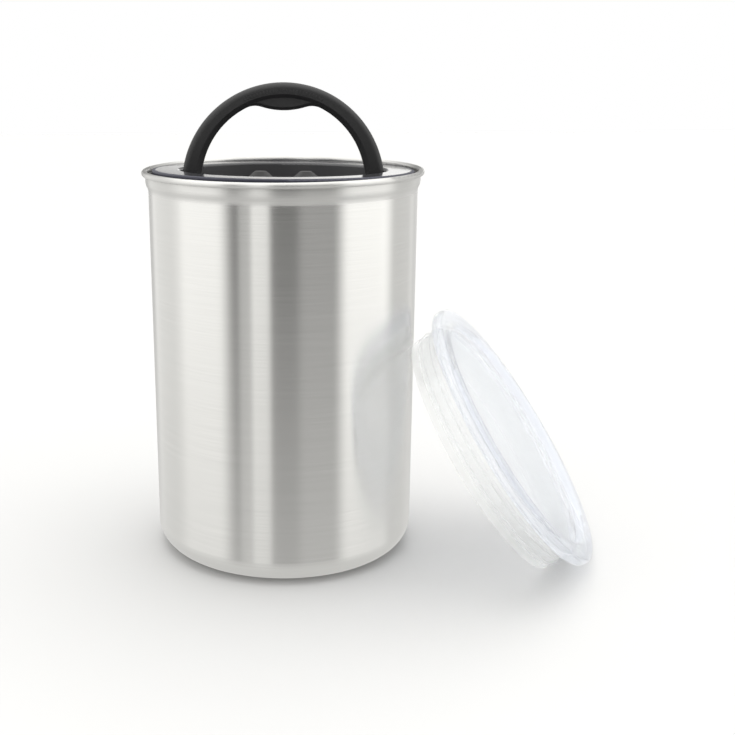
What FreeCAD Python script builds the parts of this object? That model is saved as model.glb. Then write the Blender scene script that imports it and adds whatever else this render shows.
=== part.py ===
import FreeCAD, Part
import math
import os

Vector = FreeCAD.Vector

# Coffee canister: a steel can, a push-down inner lid with two vent valves, and a clear outer lid.
# The can stands on the origin with +Z up, and its front faces -Y. Sizes are in millimetres.

# Steel can
canister_height = 178.0
canister_radius = 61.0
canister_wall = 0.6
base_corner_radius = 11.0
base_groove_inset = 10.0
base_groove_width = 5.0
base_groove_rise = 1.0
mouth_flare = 1.2
mouth_flare_drop = 9.5
mouth_flare_rise = 4.5
bead_radius = 1.3
bead_offset = 0.4

# Inner lid: moulded dish, lower plate and the wiper seal clamped between them
moulding_wall = 2.0
flange_gap = 1.0
flange_sunk = 0.5
flange_width = 12.7
flange_edge_round = 0.8
dish_lip_round = 1.2
dish_corner_round = 2.0
skirt_depth = 19.5
seal_height = 8.0
seal_inset = 0.5
seal_lip_rise = 1.3
seal_lip_thickness = 0.9
seal_lip_count = 2
seal_running_gap = 0.3
upstand_overlap = 5.0
snap_gap = 0.15
base_edge_round = 1.0
base_vent_count = 12
base_vent_radius = 1.5
base_vent_circle = 20.0
inner_lid_lean_gap = 0.37
inner_lid_lean_way = 70.0

# Handle: a half ring that folds flat into the dish
handle_crown = 7.3
handle_foot = 8.6
handle_depth = 10.0
handle_outer_round = 2.6
handle_inner_bevel = 2.2
handle_pivot_drop = 7.8
handle_fold_gap = 0.7
handle_floor_gap = 0.8
tab_drop = 4.9
tab_curve = 34.0
tab_blend = 9.0
tab_inset = 1.6
tab_bevel = 1.4
pin_radius = 2.0
pin_in_handle = 6.0
pin_in_boss = 3.0
pin_press_gap = 0.02
pin_running_gap = 0.05
boss_radius = 4.5
boss_length = 5.0

# Vent valves: a domed cap on a stem, a seal washer, a spring and a retaining clip
valve_spacing = 20.6
seat_height = 6.0
seat_radius = 6.0
seat_spigot_radius = 5.2
seat_press_gap = 0.02
stem_radius = 1.6
stem_gap = 0.08
vent_count = 6
vent_radius = 0.8
vent_circle = 3.9
valve_seal_radius = 5.6
valve_seal_thickness = 1.2
valve_seat_gap = 0.05
cap_radius = 6.8
cap_height = 5.4
cap_crown_radius = 2.6
cap_shoulder = 1.8
cap_edge_round = 0.7
valve_spring_length = 8.0
valve_spring_turns = 5
valve_spring_inner = 2.1
valve_spring_wire = 0.6
retainer_radius = 3.6
retainer_thickness = 1.5
retainer_press_gap = 0.02
stem_tail = 0.8

# Outer lid: a clear plug with a broad flange and a ring gasket in a groove
lid_plug_gap = 1.0
lid_plug_depth = 14.0
lid_plug_wall = 1.8
lid_overhang = 1.9
lid_flange_thickness = 5.4
lid_flange_round = 2.0
lid_ring_width = 9.3
lid_recess_depth = 4.0
lid_recess_round = 1.0
lid_plate_thickness = 2.0
lid_groove_start = 3.5
lid_groove_width = 8.0
lid_groove_depth = 0.6
gasket_side_gap = 0.05
gasket_fit_gap = 0.15
gasket_band = 0.7
gasket_lip_count = 2
lid_lean = 34.3
lid_turn = -13.3
lid_wall_gap = 0.3
lid_floor_gap = 0.3

# Places that several pieces share
can_bore = canister_radius - canister_wall
bead_centre_radius = canister_radius + mouth_flare + bead_offset
flange_top = canister_height - flange_sunk
flange_radius = can_bore - flange_gap
skirt_inner = flange_radius - moulding_wall
skirt_bottom = flange_top - skirt_depth
dish_radius = flange_radius - flange_width
dish_outer = dish_radius + moulding_wall
handle_outer_radius = dish_radius - handle_fold_gap
pivot_height = flange_top - handle_pivot_drop
floor_top = pivot_height - handle_depth / 2 - handle_floor_gap
floor_bottom = floor_top - moulding_wall
base_top = skirt_bottom - seal_height
seal_middle = base_top + seal_height / 2
upstand_outer = skirt_inner - snap_gap
seat_top = floor_top + seat_height
cap_bottom = seat_top + valve_seat_gap + valve_seal_thickness
retainer_top = floor_bottom - valve_seat_gap - valve_spring_length
lid_plug_radius = can_bore - lid_plug_gap
lid_height = lid_plug_depth + lid_flange_thickness
same_place = 1e-4


def at(radius, height):
    """A point of a turned outline, in the XZ plane."""
    return Vector(radius, 0, height)


def line(start, end):
    return Part.LineSegment(start, end).toShape()


def arc(start, middle, end):
    return Part.Arc(start, middle, end).toShape()


def turned(edges):
    """Solid turned about the Z axis from a closed outline."""
    outline = Part.Face(Part.Wire(edges))
    return outline.revolve(Vector(), Vector(0, 0, 1), 360)


def turned_polygon(points):
    """Solid turned about the Z axis from the corners of its outline, as (radius, height) pairs."""
    corners = [at(radius, height) for radius, height in points]
    return turned(Part.makePolygon(corners + corners[:1]).Edges)


def ring_edges(solid, radius, height):
    """Circular edges of a turned solid that have this radius and height."""
    found = []
    for edge in solid.Edges:
        curve = edge.Curve
        if not isinstance(curve, Part.Circle):
            continue
        if abs(curve.Radius - radius) < same_place and abs(curve.Center.z - height) < same_place:
            found.append(edge)
    return found


def upright(radius, bottom, top, x=0.0, y=0.0):
    """Upright cylinder between two heights."""
    return Part.makeCylinder(radius, top - bottom, Vector(x, y, bottom))


def sideways(radius, start, end):
    """Cylinder on the handle's pivot axis, from one X to another."""
    direction = Vector(math.copysign(1, end - start), 0, 0)
    return Part.makeCylinder(radius, abs(end - start), Vector(start, 0, pivot_height), direction)


def ring_of(count, circle, radius, bottom, top):
    """Upright cylinders, evenly spaced on a circle about the Z axis."""
    drills = []
    for step in range(count):
        angle = 2 * math.pi * step / count
        drills.append(upright(radius, bottom, top, circle * math.cos(angle), circle * math.sin(angle)))
    return drills


def save(shape, name):
    shape.exportStep(os.path.join("parts", name + ".step"))


def canister_shell():
    """Drawn sheet: grooved base, rounded corner, straight wall, widened collar and rolled bead."""
    corner = at(canister_radius - base_corner_radius, base_corner_radius)
    slant = math.sqrt(0.5)
    bead_height = canister_height - bead_radius

    # The wall widens to the collar through two equal arcs, out and back again
    flare_foot = canister_height - mouth_flare_drop
    flare_angle = 2 * math.atan2(mouth_flare, mouth_flare_rise)
    flare_curve = mouth_flare_rise / (2 * math.sin(flare_angle))
    out_centre = at(canister_radius + flare_curve, flare_foot)
    back_centre = at(canister_radius + mouth_flare - flare_curve, flare_foot + mouth_flare_rise)

    def sheet_face(offset):
        """Edges of one face of the sheet, from the axis to the bead."""
        groove_radius = corner.x - base_groove_inset
        groove = [
            at(0, offset),
            at(groove_radius - base_groove_width / 2, offset),
            at(groove_radius, offset + base_groove_rise),
            at(groove_radius + base_groove_width / 2, offset),
            at(corner.x, offset),
        ]
        bend = base_corner_radius - offset
        wall_foot = at(canister_radius - offset, base_corner_radius)

        def flare_out(angle):
            return out_centre + at(-math.cos(angle), math.sin(angle)) * (flare_curve + offset)

        def flare_back(angle):
            return back_centre + at(math.cos(angle), -math.sin(angle)) * (flare_curve - offset)

        lip = at(canister_radius + mouth_flare - offset, bead_height)
        edges = [line(start, end) for start, end in zip(groove, groove[1:])]
        edges.append(arc(groove[-1], corner + Vector(bend * slant, 0, -bend * slant), wall_foot))
        edges.append(line(wall_foot, flare_out(0)))
        edges.append(arc(flare_out(0), flare_out(flare_angle / 2), flare_out(flare_angle)))
        edges.append(arc(flare_out(flare_angle), flare_back(flare_angle / 2), flare_back(0)))
        edges.append(line(flare_back(0), lip))
        return edges, groove[0], lip

    outside, outside_foot, outside_lip = sheet_face(0)
    inside, inside_foot, inside_lip = sheet_face(canister_wall)
    ends = [line(outside_lip, inside_lip), line(inside_foot, outside_foot)]
    sheet = turned(outside + ends[:1] + inside[::-1] + ends[1:])
    bead = Part.makeTorus(bead_centre_radius, bead_radius, Vector(0, 0, bead_height))
    return sheet.fuse(bead).removeSplitter()


def plunger_dish():
    """Top moulding of the inner lid, with the handle's pivot bosses and a hole for each valve seat."""
    under_flange = flange_top - moulding_wall
    body = turned_polygon([
        (0, floor_bottom),
        (dish_outer, floor_bottom),
        (dish_outer, under_flange),
        (skirt_inner, under_flange),
        (skirt_inner, skirt_bottom),
        (flange_radius, skirt_bottom),
        (flange_radius, flange_top),
        (dish_radius, flange_top),
        (dish_radius, floor_top),
        (0, floor_top),
    ])
    body = body.makeFillet(flange_edge_round, ring_edges(body, flange_radius, flange_top))
    body = body.makeFillet(dish_lip_round, ring_edges(body, dish_radius, flange_top))
    body = body.makeFillet(dish_corner_round, ring_edges(body, dish_radius, floor_top))

    boss_start = dish_radius + moulding_wall / 2
    bore_end = dish_radius + pin_in_boss + pin_running_gap
    bosses = []
    bores = []
    for side in (-1, 1):
        bosses.append(sideways(boss_radius, side * boss_start, side * (boss_start + boss_length)))
        bores.append(sideways(pin_radius + pin_running_gap, side * handle_outer_radius, side * bore_end))
        x = side * valve_spacing / 2
        bores.append(upright(seat_spigot_radius + seat_press_gap, floor_bottom, floor_top, x))
    return body.fuse(bosses).removeSplitter().cut(bores)


def plunger_base():
    """Lower plate of the inner lid: its upstand snaps into the skirt and clamps the seal."""
    base_bottom = base_top - moulding_wall
    upstand_top = skirt_bottom + upstand_overlap
    upstand_inner = upstand_outer - moulding_wall
    plate = turned_polygon([
        (0, base_bottom),
        (flange_radius, base_bottom),
        (flange_radius, base_top),
        (upstand_outer, base_top),
        (upstand_outer, upstand_top),
        (upstand_inner, upstand_top),
        (upstand_inner, base_top),
        (0, base_top),
    ])
    plate = plate.makeFillet(base_edge_round, ring_edges(plate, flange_radius, base_bottom))
    return plate.cut(ring_of(base_vent_count, base_vent_circle, base_vent_radius, base_bottom, base_top))


def lipped_ring(inner, band, tip, bottom, top, lips):
    """Turned rubber ring whose lips slant up and out from the band to the tip radius."""
    pitch = (top - bottom) / lips
    outline = [(inner, bottom), (band, bottom)]
    for step in range(lips):
        root = bottom + pitch * step + (pitch - seal_lip_rise - seal_lip_thickness) / 2
        outline.append((band, root))
        outline.append((tip, root + seal_lip_rise))
        outline.append((tip, root + seal_lip_rise + seal_lip_thickness / 2))
        outline.append((band, root + seal_lip_thickness))
    outline.append((band, top))
    outline.append((inner, top))
    return turned_polygon(outline)


def wiper_seal():
    """Silicone ring between the skirt's lower end and the plate, with lips that wipe the bore."""
    inner = upstand_outer + snap_gap
    tip = can_bore - seal_running_gap
    return lipped_ring(inner, flange_radius - seal_inset, tip, base_top, skirt_bottom, seal_lip_count)


def handle():
    """Half ring with a bevelled inner edge, a thinner thumb tab under its crown and round feet."""
    half_depth = handle_depth / 2
    inner_foot = handle_outer_radius - handle_foot
    inner_rise = handle_outer_radius - handle_crown
    inner_crown = pivot_height + inner_rise

    # The inner arc passes through the crown and both feet, so its centre lies a little above the pivot
    inner_lift = (inner_rise ** 2 - inner_foot ** 2) / (2 * inner_rise)
    inner_radius = inner_rise - inner_lift
    inner_centre = at(0, pivot_height + inner_lift)
    tab_low = inner_crown - tab_drop
    tab_centre = at(0, tab_low + tab_curve)

    # The blend between ring and tab touches both, so its centre is a known distance from each centre
    to_ring = inner_radius - tab_blend
    to_tab = tab_curve + tab_blend
    apart = tab_centre.z - inner_centre.z
    blend_rise = (to_ring ** 2 - to_tab ** 2 + apart ** 2) / (2 * apart)
    blend_x = math.sqrt(to_ring ** 2 - blend_rise ** 2)
    blend_centre = inner_centre + Vector(blend_x, 0, blend_rise)
    on_ring = inner_centre + (blend_centre - inner_centre) * (inner_radius / to_ring)
    on_tab = tab_centre + (blend_centre - tab_centre) * (tab_curve / to_tab)
    blend_crown = blend_centre + Vector(0, 0, tab_blend)

    def mirrored(point):
        return Vector(-point.x, point.y, point.z)

    def ring_point(angle):
        return inner_centre + Vector(math.cos(angle), 0, math.sin(angle)) * inner_radius

    foot_angle = math.atan2(-inner_lift, inner_foot)
    meet_angle = math.atan2(on_ring.z - inner_centre.z, on_ring.x)
    half_way = ring_point((foot_angle + meet_angle) / 2)
    inner_right = at(inner_foot, pivot_height)
    ring_inside = [arc(inner_right, at(0, inner_crown), mirrored(inner_right))]
    tab_inside = [
        arc(inner_right, half_way, on_ring),
        arc(on_ring, blend_crown, on_tab),
        arc(on_tab, at(0, tab_low), mirrored(on_tab)),
        arc(mirrored(on_tab), mirrored(blend_crown), mirrored(on_ring)),
        arc(mirrored(on_ring), mirrored(half_way), mirrored(inner_right)),
    ]

    def round_edges(slab, outer, outside):
        """Arcs of a slab that lie on its outer radius, or all its other arcs."""
        found = []
        for edge in slab.Edges:
            if isinstance(edge.Curve, Part.Circle):
                on_outside = abs(edge.Curve.Radius - outer) < same_place
                if on_outside == outside:
                    found.append(edge)
        return found

    def bow(inside, outer, depth, bevel):
        """Slab between an inside outline and an outer half circle, bevelled along the inside."""
        right = at(outer, pivot_height)
        outline = inside + [
            line(mirrored(inner_right), mirrored(right)),
            arc(mirrored(right), at(0, pivot_height + outer), right),
            line(right, inner_right),
        ]
        slab = Part.Face(Part.Wire(outline)).extrude(Vector(0, depth, 0))
        slab.translate(Vector(0, -depth / 2, 0))
        return slab.makeChamfer(bevel, round_edges(slab, outer, outside=False))

    ring = bow(ring_inside, handle_outer_radius, handle_depth, handle_inner_bevel)
    ring = ring.makeFillet(handle_outer_round, round_edges(ring, handle_outer_radius, outside=True))
    tab_outer = handle_outer_radius - handle_outer_round
    tab = bow(tab_inside, tab_outer, handle_depth - 2 * tab_inset, tab_bevel)

    feet = []
    holes = []
    for side in (-1, 1):
        feet.append(sideways(half_depth, side * inner_foot, side * handle_outer_radius))
        hole_end = handle_outer_radius - pin_in_handle
        holes.append(sideways(pin_radius + pin_press_gap, side * hole_end, side * handle_outer_radius))
    return ring.fuse([tab] + feet).removeSplitter().cut(holes)


def pivot_pin(side):
    """Steel pin pressed into a foot of the handle, turning in the dish's boss."""
    start = handle_outer_radius - pin_in_handle
    end = dish_radius + pin_in_boss
    return sideways(pin_radius, side * start, side * end)


def valve_seat(side):
    """Bush pressed into the dish's floor: it guides the stem, and its vents open under the seal."""
    bush = turned_polygon([
        (stem_radius + stem_gap, floor_bottom),
        (seat_spigot_radius, floor_bottom),
        (seat_spigot_radius, floor_top),
        (seat_radius, floor_top),
        (seat_radius, seat_top),
        (stem_radius + stem_gap, seat_top),
    ])
    bush = bush.cut(ring_of(vent_count, vent_circle, vent_radius, floor_bottom, seat_top))
    return bush.translated(Vector(side * valve_spacing / 2, 0, 0))


def valve_cap(side):
    """Domed cap and its stem, one moulding."""
    cap_top = cap_bottom + cap_height
    stem_bottom = retainer_top - retainer_thickness - stem_tail
    cap = turned_polygon([
        (0, stem_bottom),
        (stem_radius, stem_bottom),
        (stem_radius, cap_bottom),
        (cap_radius, cap_bottom),
        (cap_radius, cap_bottom + cap_shoulder),
        (cap_crown_radius, cap_top),
        (0, cap_top),
    ])
    shoulder = ring_edges(cap, cap_radius, cap_bottom + cap_shoulder)
    cap = cap.makeFillet(cap_edge_round, shoulder + ring_edges(cap, cap_crown_radius, cap_top))
    return cap.translated(Vector(side * valve_spacing / 2, 0, 0))


def washer(inner, outer, bottom, top, side):
    """Flat ring round a valve stem."""
    x = side * valve_spacing / 2
    return upright(outer, bottom, top, x).cut(upright(inner, bottom, top, x))


def valve_seal(side):
    """Silicone washer under the cap, which covers the vents in the seat."""
    seal_bottom = cap_bottom - valve_seal_thickness
    return washer(stem_radius + stem_gap, valve_seal_radius, seal_bottom, cap_bottom, side)


def arc_from(start, heading, end):
    """Arc that leaves a point along a heading and ends at another point."""
    chord = end - start
    aside = heading - chord * (heading.dot(chord) / chord.dot(chord))
    bulge = chord.Length / 2 * math.tan(heading.getAngle(chord) / 2)
    return arc(start, start + chord * 0.5 + aside.normalize() * bulge, end)


def valve_spring(side):
    """Closing spring: wire wound round the stem, in quarter turns of two arcs that share a tangent."""
    wire_radius = valve_spring_wire / 2
    coil_radius = valve_spring_inner + wire_radius
    full_turn = 2 * math.pi
    climb = (valve_spring_length - valve_spring_wire) / (full_turn * valve_spring_turns)
    foot = Vector(side * valve_spacing / 2, 0, retainer_top + wire_radius)

    def point(angle):
        return foot + Vector(coil_radius * math.cos(angle), coil_radius * math.sin(angle), climb * angle)

    def heading(angle):
        return Vector(-coil_radius * math.sin(angle), coil_radius * math.cos(angle), climb).normalize()

    edges = []
    for step in range(4 * valve_spring_turns):
        begin = full_turn * step / 4
        finish = full_turn * (step + 1) / 4
        gap = point(finish) - point(begin)
        both = heading(begin) + heading(finish)
        bend = 2 * (1 - heading(begin).dot(heading(finish)))
        reach = (math.sqrt(gap.dot(both) ** 2 + bend * gap.dot(gap)) - gap.dot(both)) / bend
        leave = point(begin) + heading(begin) * reach
        arrive = point(finish) - heading(finish) * reach
        middle = (leave + arrive) * 0.5
        edges.append(arc_from(point(begin), heading(begin), middle))
        edges.append(arc_from(middle, arrive - leave, point(finish)))
    path = Part.Wire(edges)
    half_turn = 20
    points = path.discretize(2 * half_turn * valve_spring_turns)
    spans = []
    for count, start in enumerate(points):
        spans += [start.distanceToPoint(end) for end in points[count + half_turn:]]
    print("least gap between the spring's turns, mm:", round(min(spans) - valve_spring_wire, 2))
    section = Part.Wire(Part.makeCircle(wire_radius, point(0), heading(0)))
    return path.makePipeShell([section], True, False)


def valve_retainer(side):
    """Push-on clip that carries the spring's lower end."""
    inner = stem_radius + retainer_press_gap
    return washer(inner, retainer_radius, retainer_top - retainer_thickness, retainer_top, side)


def settled(shape):
    """Places a piece of the inner lid as it stands in the mouth, leaning by what its flange's gap allows."""
    lean = math.asin((flange_gap - inner_lid_lean_gap) / (flange_top - seal_middle))
    way = math.radians(inner_lid_lean_way)
    hinge = Vector(-math.sin(way), math.cos(way), 0)
    shape.rotate(Vector(0, 0, seal_middle), hinge, math.degrees(lean))
    return shape


def leaning(shape):
    """Places a piece of the outer lid: plug edge on the floor, top edge against the can's wall."""
    lean = math.radians(lid_lean)
    turn = math.radians(lid_turn)
    outward = Vector(math.cos(turn), math.sin(turn), 0)
    axis = outward * math.cos(lean) + Vector(0, 0, math.sin(lean))
    reach = canister_radius + lid_wall_gap + lid_plug_radius * math.sin(lean)
    rise = lid_floor_gap + lid_plug_radius * math.cos(lean)
    place = outward * reach + Vector(0, 0, rise)
    shape.Placement = FreeCAD.Placement(place, FreeCAD.Rotation(Vector(0, 0, 1), axis))
    return shape


def lid_cover():
    """Clear outer lid: hollow plug, broad flange and a plate sunk below the flange's top."""
    flange = bead_centre_radius + bead_radius + lid_overhang
    recess = flange - lid_ring_width
    plug_inner = lid_plug_radius - lid_plug_wall
    plate_top = lid_height - lid_recess_depth
    plate_bottom = plate_top - lid_plate_thickness
    groove_floor = lid_plug_radius - lid_groove_depth
    groove_end = lid_groove_start + lid_groove_width
    cover = turned_polygon([
        (0, plate_bottom),
        (plug_inner, plate_bottom),
        (plug_inner, 0),
        (lid_plug_radius, 0),
        (lid_plug_radius, lid_groove_start),
        (groove_floor, lid_groove_start),
        (groove_floor, groove_end),
        (lid_plug_radius, groove_end),
        (lid_plug_radius, lid_plug_depth),
        (flange, lid_plug_depth),
        (flange, lid_height),
        (recess, lid_height),
        (recess, plate_top),
        (0, plate_top),
    ])
    flange_edges = ring_edges(cover, flange, lid_plug_depth) + ring_edges(cover, flange, lid_height)
    cover = cover.makeFillet(lid_flange_round, flange_edges)
    recess_edges = ring_edges(cover, recess, lid_height) + ring_edges(cover, recess, plate_top)
    return cover.makeFillet(lid_recess_round, recess_edges)


def lid_gasket():
    """Silicone band in the plug's groove, with lips that seal on the can's bore."""
    inner = lid_plug_radius - lid_groove_depth + gasket_side_gap
    bottom = lid_groove_start + gasket_side_gap
    top = lid_groove_start + lid_groove_width - gasket_side_gap
    tip = can_bore - gasket_fit_gap
    return lipped_ring(inner, inner + gasket_band, tip, bottom, top, gasket_lip_count)


os.makedirs("parts", exist_ok=True)
save(canister_shell(), "canister_shell")
save(settled(plunger_dish()), "plunger_dish")
save(settled(plunger_base()), "plunger_base")
save(settled(wiper_seal()), "wiper_seal")
save(settled(handle()), "handle")
save(leaning(lid_cover()), "lid_cover")
save(leaning(lid_gasket()), "lid_gasket")
for side, name in ((-1, "left"), (1, "right")):
    save(settled(pivot_pin(side)), "pivot_pin_" + name)
    save(settled(valve_seat(side)), "valve_seat_" + name)
    save(settled(valve_cap(side)), "valve_cap_" + name)
    save(settled(valve_seal(side)), "valve_seal_" + name)
    save(settled(valve_spring(side)), "valve_spring_" + name)
    save(settled(valve_retainer(side)), "valve_retainer_" + name)
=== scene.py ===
import math

import bpy
from mathutils import Euler, Matrix, Vector


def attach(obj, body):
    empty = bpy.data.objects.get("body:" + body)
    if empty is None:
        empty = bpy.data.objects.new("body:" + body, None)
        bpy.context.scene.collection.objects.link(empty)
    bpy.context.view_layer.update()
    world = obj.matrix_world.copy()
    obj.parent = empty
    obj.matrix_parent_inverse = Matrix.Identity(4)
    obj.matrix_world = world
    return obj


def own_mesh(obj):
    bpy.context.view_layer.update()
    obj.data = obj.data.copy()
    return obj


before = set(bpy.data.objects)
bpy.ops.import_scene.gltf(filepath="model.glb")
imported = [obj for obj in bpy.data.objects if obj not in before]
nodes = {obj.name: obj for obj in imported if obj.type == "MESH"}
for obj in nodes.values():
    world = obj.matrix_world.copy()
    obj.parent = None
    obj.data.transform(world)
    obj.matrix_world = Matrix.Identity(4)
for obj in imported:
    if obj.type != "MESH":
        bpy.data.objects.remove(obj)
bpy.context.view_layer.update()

# The can is deep-drawn stainless sheet, with a rolled bead round its mouth and a groove
# pressed into its base. A belt brushes it round and round while it turns, so its highlights
# stand up and down in soft bands. The flare under the bead keeps a duller, drawn surface.


class Link:
    """A socket of a shader tree. Arithmetic on links adds Math nodes to the tree."""

    def __init__(self, tree, socket=None):
        self.tree = tree
        self.socket = socket

    def node(self, kind, settings=None, *values, output=None, **inputs):
        """Adds a node: its settings first, then values or links for inputs in order or by name."""
        made = self.tree.nodes.new("ShaderNode" + kind)
        for name, value in (settings or {}).items():
            setattr(made, name, value)
        for socket, value in zip(made.inputs, values):
            self.plug(socket, value)
        for name, value in inputs.items():
            self.feed(made, name, value)
        shown = [end for end in made.outputs if end.enabled and output in (None, end.name)]
        return Link(self.tree, shown[0])

    def feed(self, node, name, value):
        """Sets or links the input of a node that has this name, written in lower case."""
        wanted = name.replace("_", " ").title()
        found = [end for end in node.inputs if end.enabled and end.name.title() == wanted]
        self.plug(found[0], value)

    def plug(self, socket, value):
        """Sets or links one socket."""
        if isinstance(value, Link):
            self.tree.links.new(value.socket, socket)
        else:
            socket.default_value = value

    def __add__(self, other):
        return self.node("Math", {"operation": "ADD"}, self, other)

    def __sub__(self, other):
        return self.node("Math", {"operation": "SUBTRACT"}, self, other)

    def __rsub__(self, other):
        return self.node("Math", {"operation": "SUBTRACT"}, other, self)

    def __mul__(self, other):
        return self.node("Math", {"operation": "MULTIPLY"}, self, other)

    __radd__ = __add__
    __rmul__ = __mul__


def new_finish(name):
    """A material, its shader and a link that adds nodes to it."""
    material = bpy.data.materials.new(name)
    material.use_nodes = True
    tree = material.node_tree
    return material, tree.nodes["Principled BSDF"], Link(tree)


def position(tree, axes):
    """The named coordinates of a point on a piece, in metres."""
    place = tree.node("TexCoord", output="Object")
    return [tree.node("SeparateXYZ", output=axis, vector=place) for axis in axes]


def noise(tree, scale, detail=2.0, stretch=(1.0, 1.0, 1.0)):
    """Noise in metres, drawn out along the axes with a small stretch."""
    place = tree.node("TexCoord", output="Object")
    drawn_out = tree.node("Mapping", vector=place, scale=stretch)
    return tree.node("TexNoise", vector=drawn_out, scale=scale, detail=detail)


def blend(tree, share, first, second):
    """A colour between two colours. The first may be a link."""
    if not isinstance(first, Link):
        first = (*first, 1.0)
    return tree.node("Mix", {"data_type": "RGBA"}, factor=share, a=first, b=(*second, 1.0))


def fade(tree, value, none, full):
    """0 at one value, 1 at another, smooth between."""
    smooth = {"interpolation_type": "SMOOTHSTEP"}
    return tree.node("MapRange", smooth, value=value, from_min=none, from_max=full)


def paint(material, *names):
    """Gives CAD pieces their finish."""
    for name in names:
        for slot in nodes[name].material_slots:
            slot.material = material


wall_top, flare_foot = 0.1670, 0.1712
dull_steel, bright_steel = (0.60, 0.597, 0.583), (0.72, 0.717, 0.703)
can_steel, shader, tree = new_finish("can_steel")
brushing = noise(tree, scale=5200.0, detail=3.0, stretch=(0.005, 0.005, 1.0))
fine_lines = noise(tree, scale=14000.0, stretch=(0.004, 0.004, 1.0))
handling = noise(tree, scale=38.0, detail=3.0)
height, = position(tree, "Z")
flare = fade(tree, height, wall_top, flare_foot)
tree.feed(shader, "base_color", blend(tree, brushing, dull_steel, bright_steel))
tree.feed(shader, "roughness", 0.20 + 0.06 * brushing + 0.03 * handling + 0.14 * flare)
tree.feed(shader, "metallic", 1.0)
tree.feed(shader, "anisotropic", 0.95)
tree.feed(shader, "anisotropic_rotation", 0.25)
lines = 0.6 * brushing + 0.4 * fine_lines
tree.feed(shader, "normal", tree.node("Bump", strength=0.12, distance=0.00002, height=lines))
paint(can_steel, "canister_shell")

# The inner lid's lower plate is a black moulding that faces into the can, with a ring of
# air vents. Its mould was etched, so it has a fine grain. Its upstand snaps into the dish
# and clamps the seal.
deep_black, pale_black = (0.009, 0.009, 0.010), (0.023, 0.023, 0.024)
matte_black, shader, tree = new_finish("matte_black")
grain = noise(tree, scale=2600.0)
wear = noise(tree, scale=60.0, detail=4.0)
tree.feed(shader, "base_color", blend(tree, grain, deep_black, pale_black))
tree.feed(shader, "roughness", 0.40 + 0.16 * grain + 0.08 * wear)
tree.feed(shader, "normal", tree.node("Bump", strength=0.25, distance=0.0001, height=grain))
paint(matte_black, "plunger_base")

# The wiper seal is a ring of black silicone with two lips, stretched over the upstand
# before the halves snap shut. Silicone leaves the mould with a soft satin bloom.
clean_rubber, bloomed_rubber = (0.014, 0.014, 0.015), (0.030, 0.030, 0.032)
black_silicone, shader, tree = new_finish("black_silicone")
bloom = noise(tree, scale=420.0, detail=4.0)
tree.feed(shader, "base_color", blend(tree, bloom, clean_rubber, bloomed_rubber))
tree.feed(shader, "roughness", 0.46 + 0.22 * bloom)
paint(black_silicone, "wiper_seal")

# The dish is the inner lid's polished black moulding: a broad flange with a dull rim, a deep
# well with a softer wall, and a skirt. Its wall carries the handle's pivots and its floor the
# two valves. The whole inner lid leans in the can's mouth, about the middle of its seal. The
# rim is painted dark navy as painted shade with a bluish painted reflection, and the well's
# wall is painted a lighter grey as a painted reflection.
seal_middle = Vector((0, 0, 0.154))
flange_rise = 0.0235
lean, lean_way = math.radians(1.536), math.radians(70)
lean_right, lean_back = math.sin(lean) * math.cos(lean_way), math.sin(lean) * math.sin(lean_way)
inner_axis = Vector((lean_right, lean_back, math.cos(lean)))
flange_middle = seal_middle + flange_rise * inner_axis
well_foot_inside, well_foot_outside = 0.028, 0.034
well_mouth_inside, well_mouth_outside = 0.0465, 0.0475
flange_rim_start, flange_rim = 0.0574, 0.0584
skirt_top, flange_underside = -0.0035, -0.0020
deep_resin, pale_resin = (0.034, 0.034, 0.037), (0.048, 0.048, 0.052)
wall_painted_reflection, rim_painted_shade = (0.060, 0.060, 0.063), (0.016, 0.017, 0.034)
gloss_black, shader, tree = new_finish("gloss_black")
flow = noise(tree, scale=70.0, detail=3.0)
rub = noise(tree, scale=900.0, detail=3.0)
x, y, z = position(tree, "XYZ")
x, y, z = x - flange_middle.x, y - flange_middle.y, z - flange_middle.z
rise = inner_axis.x * x + inner_axis.y * y + inner_axis.z * z
from_axis = tree.node("Math", {"operation": "SQRT"}, x * x + y * y)
past_foot = fade(tree, from_axis, well_foot_inside, well_foot_outside)
well_wall = past_foot * fade(tree, from_axis, well_mouth_outside, well_mouth_inside)
above_skirt = fade(tree, rise, skirt_top, flange_underside)
rim = fade(tree, from_axis, flange_rim_start, flange_rim) * above_skirt
resin = blend(tree, flow, deep_resin, pale_resin)
# Painted reflection: the well's wall is painted a lighter grey.
resin = blend(tree, well_wall, resin, wall_painted_reflection)
# Painted shade: the rim is painted dark navy, with a bluish painted reflection.
resin = blend(tree, rim, resin, rim_painted_shade)
tree.feed(shader, "base_color", resin)
gloss = 0.06 + 0.04 * flow + 0.03 * rub
tree.feed(shader, "roughness", gloss + 0.24 * well_wall + 0.35 * rim)
paint(gloss_black, "plunger_dish")

# The valve seats are bushes of the same black resin, pressed into the dish's floor.
# Their vents let air out from below, and each guides a valve's stem.
paint(gloss_black, "valve_seat_left", "valve_seat_right")

# The pivot pins are cut from drawn stainless wire and pressed into the handle's feet.
# Drawing leaves fine lines along them.
dull_wire, bright_wire = (0.50, 0.50, 0.51), (0.64, 0.64, 0.65)
pin_steel, shader, tree = new_finish("pin_steel")
drawn = noise(tree, scale=6000.0, stretch=(0.03, 1.0, 1.0))
tree.feed(shader, "base_color", blend(tree, drawn, dull_wire, bright_wire))
tree.feed(shader, "roughness", 0.22 + 0.16 * drawn)
tree.feed(shader, "metallic", 1.0)
paint(pin_steel, "pivot_pin_left", "pivot_pin_right")

# The handle is one black moulding, a half ring with a thinner thumb tab under its crown.
# It turns on the pins and folds down into the dish.
paint(matte_black, "handle")

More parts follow.
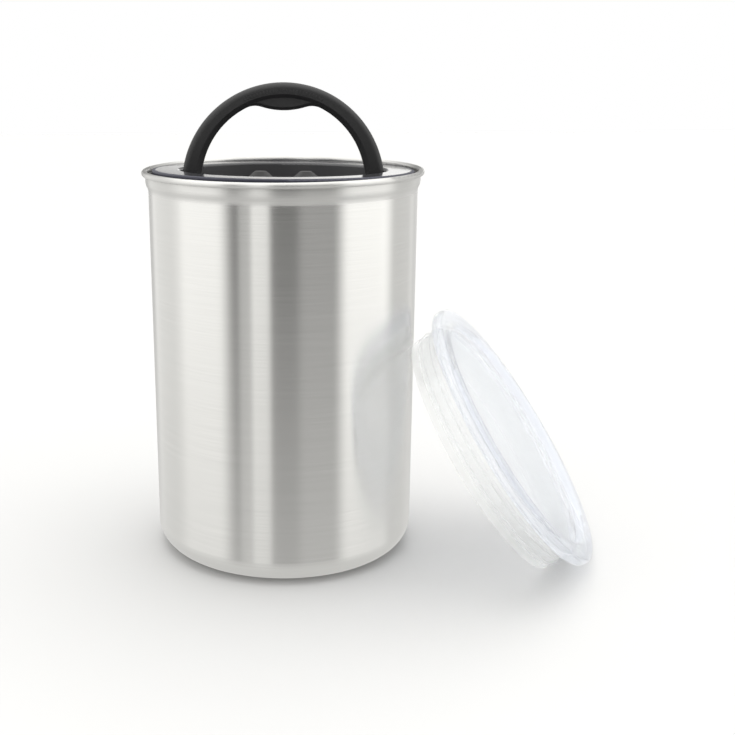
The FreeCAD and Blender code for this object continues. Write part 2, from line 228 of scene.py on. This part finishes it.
# Grip ticks are moulded into the front of the handle's crown: low rounded bars, side by
# side along the ring. One is shaped and copied round the pivot, and all of them lean with
# the inner lid.
pivot = Vector((0, 0, 0.1697))
ring_middle, ring_front = 0.0422, -0.005
tick_size = (0.0005, 0.0004, 0.0016)
tick_rounding = 0.00015
tick_spacing = math.radians(2.0)
ticks_each_way = 12
bpy.ops.object.select_all(action="DESELECT")
crown = (0, ring_front, pivot.z + ring_middle)
bpy.ops.mesh.primitive_cube_add(size=1.0, location=crown, scale=tick_size)
bpy.ops.object.transform_apply(location=True, rotation=True, scale=True)
tick = bpy.context.object
bpy.ops.object.modifier_add(type="BEVEL")
tick.modifiers["Bevel"].width = tick_rounding
tick.modifiers["Bevel"].segments = 2
bpy.ops.object.modifier_apply(modifier="Bevel")
tick.data.materials.append(matte_black)
ticks = [tick]
for step in range(1, ticks_each_way + 1):
    for way in (-1, 1):
        bpy.ops.object.select_all(action="DESELECT")
        tick.select_set(True)
        bpy.context.view_layer.objects.active = tick
        bpy.ops.object.duplicate()
        turn = tick_spacing * step * way
        bpy.ops.transform.rotate(value=turn, orient_axis="Y", center_override=pivot)
        ticks.append(bpy.context.object)
for piece in ticks:
    piece.select_set(True)
bpy.context.view_layer.objects.active = tick
bpy.ops.object.join()
for turn, axis in ((math.asin(inner_axis.y), "X"), (-math.asin(inner_axis.x), "Y")):
    bpy.ops.transform.rotate(value=turn, orient_axis=axis, center_override=seal_middle)
bpy.ops.object.transform_apply(location=True, rotation=True, scale=True)
bpy.ops.object.shade_smooth_by_angle(angle=math.radians(40))
tick.name = "grip_ticks"
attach(tick, "handle")

# The valve seals are silicone washers pushed up the stems against the caps.
# They lie on the seats and close the vents.
paint(black_silicone, "valve_seal_left", "valve_seal_right")

# The valve springs are wound from stainless wire and the retainers stamped from strip.
# A retainer is pushed onto each stem's end and holds its spring against the seat.
# A valve lifts by 2 mm and its 8 mm spring shortens towards the seat; here each spring only gets
# its own mesh.
paint(pin_steel, "valve_spring_left", "valve_spring_right")
paint(pin_steel, "valve_retainer_left", "valve_retainer_right")
valve_aside = 0.0103
for side, across in (("left", -valve_aside), ("right", valve_aside)):
    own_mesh(nodes["valve_spring_" + side])

# The valve caps are low black domes moulded in one with their stems.
# Each is a button that lifts when air is pushed out of the can.
paint(matte_black, "valve_cap_left", "valve_cap_right")

# The outer lid is an injection moulding of clear plastic that is pressed into the can's
# mouth. Here it is off, and leans on the can. Its flange and plate are polished, and the
# wall of its plug is frosted.
lid_lean, lid_turn = math.radians(34.3), math.radians(-13.3)
lid_axis = Vector((math.cos(lid_turn), math.sin(lid_turn), math.tan(lid_lean))).normalized()
plug_end = Vector((0.09223, -0.02180, 0.04937)).dot(lid_axis)
frost_end, polish_start = 0.0132, 0.0142
clear_tint, frost_tint = (0.78, 0.84, 0.97), (0.95, 0.96, 0.955)
clear_plastic, shader, tree = new_finish("clear_plastic")
haze = noise(tree, scale=240.0, detail=3.0)
x, y, z = position(tree, "XYZ")
along_axis = lid_axis.x * x + lid_axis.y * y + lid_axis.z * z - plug_end
frosted = fade(tree, along_axis, polish_start, frost_end)
tree.feed(shader, "base_color", blend(tree, frosted, clear_tint, frost_tint))
tree.feed(shader, "roughness", 0.03 + 0.03 * haze + 0.75 * frosted)
tree.feed(shader, "alpha", 0.42 + 0.06 * haze - 0.04 * frosted)
tree.feed(shader, "transmission_weight", 0.85)
tree.feed(shader, "ior", 1.4)
paint(clear_plastic, "lid_cover")

# The outer lid's gasket is a band of translucent silicone in the plug's groove.
# Two soft lips on it seal against the can's bore.
thin_milk, thick_milk = (0.88, 0.90, 0.91), (0.94, 0.95, 0.96)
milky_silicone, shader, tree = new_finish("milky_silicone")
cloud = noise(tree, scale=300.0, detail=3.0)
tree.feed(shader, "base_color", blend(tree, cloud, thin_milk, thick_milk))
tree.feed(shader, "roughness", 0.40 + 0.15 * cloud)
tree.feed(shader, "alpha", 0.16 + 0.06 * cloud)
tree.feed(shader, "transmission_weight", 0.4)
tree.feed(shader, "ior", 1.3)
paint(milky_silicone, "lid_gasket")

# The floor is a sheet of pale matt card that reaches past the camera's view.
# The can stands on it, and the steel doesn't mirror it: the light from below stands for it.
bpy.ops.object.select_all(action="DESELECT")
bpy.ops.mesh.primitive_plane_add(size=6.0)
floor = bpy.context.object
floor.name = "floor"
floor.visible_glossy = False
card, shader, tree = new_finish("floor")
tree.feed(shader, "base_color", (0.49, 0.49, 0.49, 1.0))
tree.feed(shader, "roughness", 0.6)
floor.data.materials.append(card)

# Upright soft boxes stand all round and make the bands on the steel. Each has a bearing
# from the camera's side and a half width, both in degrees, and a strength.
left_boxes = ((-124, 30, 1.04), (-74.5, 35, 1.5), (-31, 9, 0.55), (-18.5, 10, 1.2))
right_boxes = ((28, 20, 0.28), (74, 34, 1.6), (121, 32, 0.83))
back_boxes = ((-170, 34, 0.62), (170, 36, 0.72))
room_light = 0.03
world = bpy.data.worlds.new("studio")
world.use_nodes = True
bpy.context.scene.world = world
tree = Link(world.node_tree)
direction = tree.node("TexCoord", output="Generated")
aside, away, up = (tree.node("SeparateXYZ", output=axis, vector=direction) for axis in "XYZ")
bearing = tree.node("Math", {"operation": "ARCTAN2"}, aside, -1.0 * away) * (180 / math.pi)


def soft_box(centre, half_width, strength):
    """Light of an upright soft box with faded edges."""
    off_centre = tree.node("Math", {"operation": "ABSOLUTE"}, bearing - centre)
    return strength * fade(tree, off_centre, half_width, 0.5 * half_width)


glow = room_light
for box in left_boxes + right_boxes + back_boxes:
    glow = glow + soft_box(*box)

# A low light stands at the back, where the flange reflects it, and a grey flag shades its
# left part. Light also comes down from the ceiling and up from the pale floor. The camera
# sees plain white behind the object, and so does a ray that has passed through the lid.


def mixed(share, first, second):
    """A value between two values."""
    return first + share * (second - first)


flag_top, flag_slope, flag_edge = 0.055, 8.0, (-0.05, 0.03)
low_light_top, low_light_foot, low_light_sides = (0.45, 0.30), (-0.08, -0.02), (0.85, 0.95)
ceiling_edge, floor_edge = (0.45, 0.70), (-0.12, -0.50)
shaded_back, open_back = 0.35, 1.15
ceiling, floor_bounce, white = 2.0, 0.86, 1.0
flag = fade(tree, aside + flag_slope * (flag_top - up), *flag_edge)
low = fade(tree, up, *low_light_top) * fade(tree, up, *low_light_foot)
low_back = fade(tree, away, *low_light_sides) * low
glow = mixed(low_back, glow, shaded_back + open_back * flag)
glow = mixed(fade(tree, up, *ceiling_edge), glow, ceiling)
glow = mixed(fade(tree, up, *floor_edge), glow, floor_bounce)
camera_ray = tree.node("LightPath", output="Is Camera Ray")
through_ray = tree.node("LightPath", output="Is Transmission Ray")
seen = tree.node("Math", {"operation": "MAXIMUM"}, camera_ray, through_ray)
warmth = {"x": 1.0, "y": 0.995, "z": 0.975}
light = {axis: mixed(seen, share * glow, white) for axis, share in warmth.items()}
background = world.node_tree.nodes["Background"]
tree.feed(background, "color", tree.node("CombineXYZ", **light))
tree.feed(background, "strength", 1.0)

# A broad lamp overhead fills the matt surfaces and lays a soft shadow.
# The steel and the gloss don't mirror it.
lamp_tilt = (math.radians(-12), math.radians(8), 0)
bpy.ops.object.light_add(type="SUN", rotation=lamp_tilt)
lamp = bpy.context.object
lamp.data.energy = 1.5
lamp.data.angle = math.radians(60)
lamp.visible_glossy = False

# The camera stands before the handle's front, a little above it, and looks down at the can.
# Its place, tilt, roll, lens and shift were fitted to the can's outline.
camera_place = (0, -0.51934, 0.22676)
tilt, roll = math.radians(74.64), math.radians(-0.29)
camera_data = bpy.data.cameras.new("camera")
camera_data.sensor_width = 36.0
camera_data.lens = 55.46
camera_data.shift_x = 0.1138
camera = bpy.data.objects.new("camera", camera_data)
bpy.context.scene.collection.objects.link(camera)
facing = Euler((tilt, 0, 0)).to_matrix() @ Euler((0, 0, roll)).to_matrix()
camera.matrix_world = Matrix.Translation(camera_place) @ facing.to_4x4()
bpy.context.scene.camera = camera
bpy.context.scene.view_settings.view_transform = "Standard"
